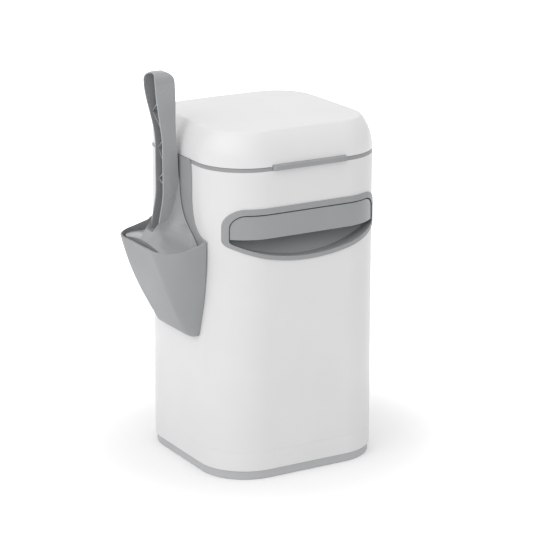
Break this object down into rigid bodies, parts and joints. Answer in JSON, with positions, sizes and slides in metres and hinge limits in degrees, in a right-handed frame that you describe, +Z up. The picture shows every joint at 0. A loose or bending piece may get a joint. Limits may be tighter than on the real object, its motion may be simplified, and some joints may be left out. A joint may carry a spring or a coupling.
{
  "type": "litter disposal pail",
  "caption": "Tall rounded-square disposal pail with a domed hinged lid, a front pull bar over a finger recess, and a slotted scoop standing in a pouch on its side.",
  "frame": {"origin": "centre of the flat underside of the foot", "axes": "+Z up through the lid, -Y towards the pull handle, -X towards the scoop"},
  "size_m": [0.2857, 0.2398, 0.487],
  "materials": {
    "white_plastic": "white moulded plastic with a satin gloss",
    "grey_plastic": "mid-grey moulded plastic, fine satin",
    "dark_grey_plastic": "darker grey moulded plastic, fine satin",
    "dark_plastic": "dark grey moulded plastic",
    "refill_plastic": "pale grey moulded plastic",
    "film": "packed folds of milky film",
    "rubber": "soft dark rubber",
    "steel": "plain bright steel"
  },
  "bodies": {
    "base": {"base_foot": "grey_plastic", "base_tray": "white_plastic", "base_screws": "steel", "base_hinge_pin": "steel"},
    "pail": {"outer_shell": "white_plastic", "top_deck": "grey_plastic", "deck_screws": "steel", "lid_hinge_pin": "steel", "refill_cartridge": "refill_plastic", "film_pack": "film", "cartridge_cover": "refill_plastic", "gate_frame": "dark_plastic", "fixed_jaw": "dark_plastic", "fixed_jaw_seal": "rubber", "cutter_guard": "grey_plastic", "cutter_blade": "steel", "handle_bezel": "grey_plastic", "scoop_holder": "grey_plastic", "return_spring_left": "steel", "return_spring_right": "steel"},
    "gate": {"gate_plate": "dark_plastic", "gate_seal": "rubber", "pull_bar": "dark_grey_plastic", "arm_screws": "steel", "pull_arm_left": "steel", "pull_arm_right": "steel"},
    "lid": {"lid_shell": "white_plastic", "lid_liner": "grey_plastic", "lid_seal": "rubber"},
    "scoop": {"scoop": "grey_plastic"}
  },
  "joints": [
    {"name": "pail_tilt", "type": "hinge", "parent": "base", "child": "pail", "pos_m": [0, 0.1176, 0.03475], "axis": [-1, 0, 0], "range_deg": [0, 70]},
    {"name": "lid_hinge", "type": "hinge", "parent": "pail", "child": "lid", "pos_m": [0, 0.1176, 0.3847], "axis": [-1, 0, 0], "range_deg": [0, 100]},
    {"name": "gate_slide", "type": "slide", "parent": "pail", "child": "gate", "axis": [0, -1, 0], "range_m": [0, 0.075], "stiffness_N_per_m": 120, "springref_m": -0.03, "deforming": ["return_spring_left", "return_spring_right"]},
    {"name": "scoop_lift", "type": "slide", "parent": "pail", "child": "scoop", "axis": [0, 0, 1], "range_m": [0, 0.125]}
  ]
}
